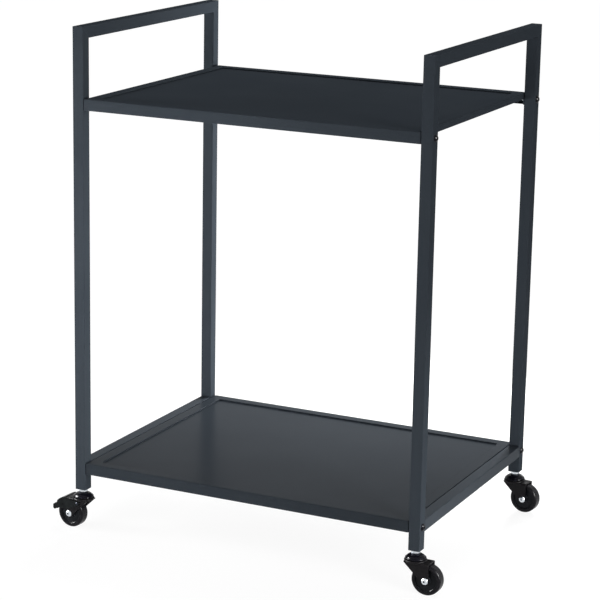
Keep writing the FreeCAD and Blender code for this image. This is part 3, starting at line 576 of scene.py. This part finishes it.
NODE_PAINTS = (
    ("leg_socket", "zinc"),
    ("leg", "matte_coat"),
    ("handle_bar", "matte_coat"),
    ("crossbar", "satin_coat"),
    ("shelf_bolts", "gloss_black"),
    ("shelf_nuts", "zinc"),
    ("lower_shelf", "shelf_coat"),
    ("upper_shelf", "matte_coat"),
    ("stem", "dark_zinc"),
    ("stem_nut", "zinc"),
    ("swivel_cap", "gloss_black"),
    ("swivel_balls", "bearing_steel"),
    ("fork", "coarse_black"),
    ("axle", "zinc"),
    ("wheel_core", "wheel_core"),
    ("tyre", "tyre"),
    ("brake_pedal", "pedal"),
    ("brake_pin", "dark_zinc"),
)
POWDER_COATS = ("matte_coat", "satin_coat", "shelf_coat")

glinting_nodes = bpy.data.collections.new("glinting_nodes")
for node_name, node in frame["nodes"].items():
    paint = next(paint for ending, paint in NODE_PAINTS if node_name.endswith(ending))
    node.data.materials.clear()
    node.data.materials.append(paints[paint])
    if paint not in POWDER_COATS:
        glinting_nodes.objects.link(node)


# Floor and background

WHITE_RAYS = ("Is Camera Ray", "Is Glossy Ray", "Is Transmission Ray")
SHADER_SHARE, SHADER_FIRST, SHADER_SECOND = 0, 1, 2
FLOOR_SIDE = 40
FLOOR_GLOW_NEAR = 0.89
FLOOR_GLOW_FAR = 1.0
FLOOR_NEAR = 1.2
FLOOR_FAR = 4.0
SEEN_FLOOR_COLOUR = (0.16, 0.16, 0.16, 1)
PLAIN_FLOOR_COLOUR = (0.8, 0.8, 0.8, 1)
WORLD_LIGHT = 0.05


def mix_by_ray(tree, output, lighting, seen):
    """One shader for rays that see the background, by eye or in gloss, and one for the others."""
    path = tree.nodes.new("ShaderNodeLightPath")
    total = path.outputs[WHITE_RAYS[0]]
    for name in WHITE_RAYS[1:]:
        node = tree.nodes.new("ShaderNodeMath")
        node.operation = "MAXIMUM"
        tree.links.new(total, node.inputs[0])
        tree.links.new(path.outputs[name], node.inputs[1])
        total = node.outputs["Value"]
    mix = tree.nodes.new("ShaderNodeMixShader")
    tree.links.new(total, mix.inputs[SHADER_SHARE])
    tree.links.new(lighting, mix.inputs[SHADER_FIRST])
    tree.links.new(seen, mix.inputs[SHADER_SECOND])
    tree.links.new(mix.outputs["Shader"], output.inputs["Surface"])


def make_world():
    """A white background that gives the cart only a little light."""
    world = bpy.data.worlds.new("studio")
    bpy.context.scene.world = world
    world.use_nodes = True
    tree = world.node_tree
    tree.nodes.clear()
    output = tree.nodes.new("ShaderNodeOutputWorld")
    light = tree.nodes.new("ShaderNodeBackground")
    light.inputs["Strength"].default_value = WORLD_LIGHT
    white = tree.nodes.new("ShaderNodeBackground")
    white.inputs["Color"].default_value = WHITE
    mix_by_ray(tree, output, light.outputs["Background"], white.outputs["Background"])


def floor_material():
    """A glow that the eye sees, a little less near the cart, and paint that takes the shadow."""
    material = bpy.data.materials.new("white_floor")
    material.use_nodes = True
    tree = material.node_tree
    tree.nodes.clear()
    output = tree.nodes.new("ShaderNodeOutputMaterial")
    plain = tree.nodes.new("ShaderNodeBsdfDiffuse")
    plain.inputs["Color"].default_value = PLAIN_FLOOR_COLOUR
    paint = tree.nodes.new("ShaderNodeBsdfDiffuse")
    paint.inputs["Color"].default_value = SEEN_FLOOR_COLOUR
    glow = tree.nodes.new("ShaderNodeEmission")
    place = tree.nodes.new("ShaderNodeTexCoord").outputs["Object"]
    distance = tree.nodes.new("ShaderNodeVectorMath")
    distance.operation = "LENGTH"
    rise = tree.nodes.new("ShaderNodeMapRange")
    rise.interpolation_type = "SMOOTHSTEP"
    ends = (FLOOR_NEAR, FLOOR_FAR, FLOOR_GLOW_NEAR, FLOOR_GLOW_FAR)
    for socket, number in zip(RANGE_SOCKETS, ends):
        rise.inputs[socket].default_value = number
    both = tree.nodes.new("ShaderNodeAddShader")
    tree.links.new(place, distance.inputs[0])
    tree.links.new(distance.outputs["Value"], rise.inputs["Value"])
    tree.links.new(rise.outputs["Result"], glow.inputs["Strength"])
    tree.links.new(glow.outputs["Emission"], both.inputs[0])
    tree.links.new(paint.outputs["BSDF"], both.inputs[1])
    mix_by_ray(tree, output, plain.outputs["BSDF"], both.outputs["Shader"])
    return material


def make_floor():
    bm = bmesh.new()
    bmesh.ops.create_grid(bm, x_segments=1, y_segments=1, size=FLOOR_SIDE / 2)
    mesh = bpy.data.meshes.new("floor")
    bm.to_mesh(mesh)
    bm.free()
    mesh.materials.append(floor_material())
    floor = bpy.data.objects.new("floor", mesh)
    bpy.context.scene.collection.objects.link(floor)


make_world()
make_floor()


# Lamps: the name, the place, the width, the height, the watts and what it points at

CART_MIDDLE = (0, 0, 0.45)
CASTER_LEVEL = (0, 0, 0.1)
SOFT_LAMPS = (
    ("overhead", (0.0, 1.3, 2.9), 1.0, 1.0, 38, CART_MIDDLE),
    ("key_left", (-2.8, -1.1, 1.5), 1.0, 1.0, 40, CART_MIDDLE),
    ("left_low", (-1.5, -1.9, 0.4), 0.8, 0.6, 24, (-0.2, 0, 0.35)),
    ("front_low", (-0.6, -2.8, 0.3), 2.4, 0.5, 12, (0, 0, 0.3)),
    ("key_right", (2.8, -1.5, 1.5), 1.0, 1.0, 42, CART_MIDDLE),
    ("right_back", (3.0, 1.8, 1.2), 1.6, 2.2, 12, CART_MIDDLE),
    ("inside", (0.12, 1.0, 0.48), 0.3, 0.7, 30, (-0.3, 0, 0.45)),
    ("back", (0.4, 3.2, 1.6), 2.4, 2.0, 34, CART_MIDDLE),
)
# Lamps that shine in a narrow beam.
BEAM_SPREAD = 46
BEAM_LAMPS = (
    ("right_low", (1.5, -0.4, 0.12), 0.3, 0.1, 0.9, (0.32, -0.2, 0.06)),
    ("left_inside", (0.45, -1.2, 0.45), 0.2, 0.6, 1.0, (-0.3, -0.15, 0.42)),
)
# Lamps that show only in gloss: two bright windows that glint on the casters and bolts.
GLINT_LAMPS = (
    ("glint_left", (-2.8, -1.1, 1.5), 1.2, 1.0, 700, CASTER_LEVEL),
    ("glint_right", (2.9, -0.5, 1.3), 0.9, 0.8, 300, CASTER_LEVEL),
)


def make_lamp(name, place, width, height, watts, target):
    data = bpy.data.lights.new(name, "AREA")
    data.shape = "RECTANGLE"
    data.size = width
    data.size_y = height
    data.energy = watts
    lamp = bpy.data.objects.new(name, data)
    bpy.context.scene.collection.objects.link(lamp)
    lamp.location = place
    ahead = Vector(target) - Vector(place)
    lamp.rotation_euler = ahead.to_track_quat("-Z", "Y").to_euler()
    lamp.visible_camera = False
    return lamp


for row in SOFT_LAMPS:
    make_lamp(*row).visible_glossy = False
for row in BEAM_LAMPS:
    lamp = make_lamp(*row)
    lamp.visible_glossy = False
    lamp.data.spread = math.radians(BEAM_SPREAD)
for row in GLINT_LAMPS:
    lamp = make_lamp(*row)
    lamp.visible_diffuse = False
    lamp.light_linking.receiver_collection = glinting_nodes
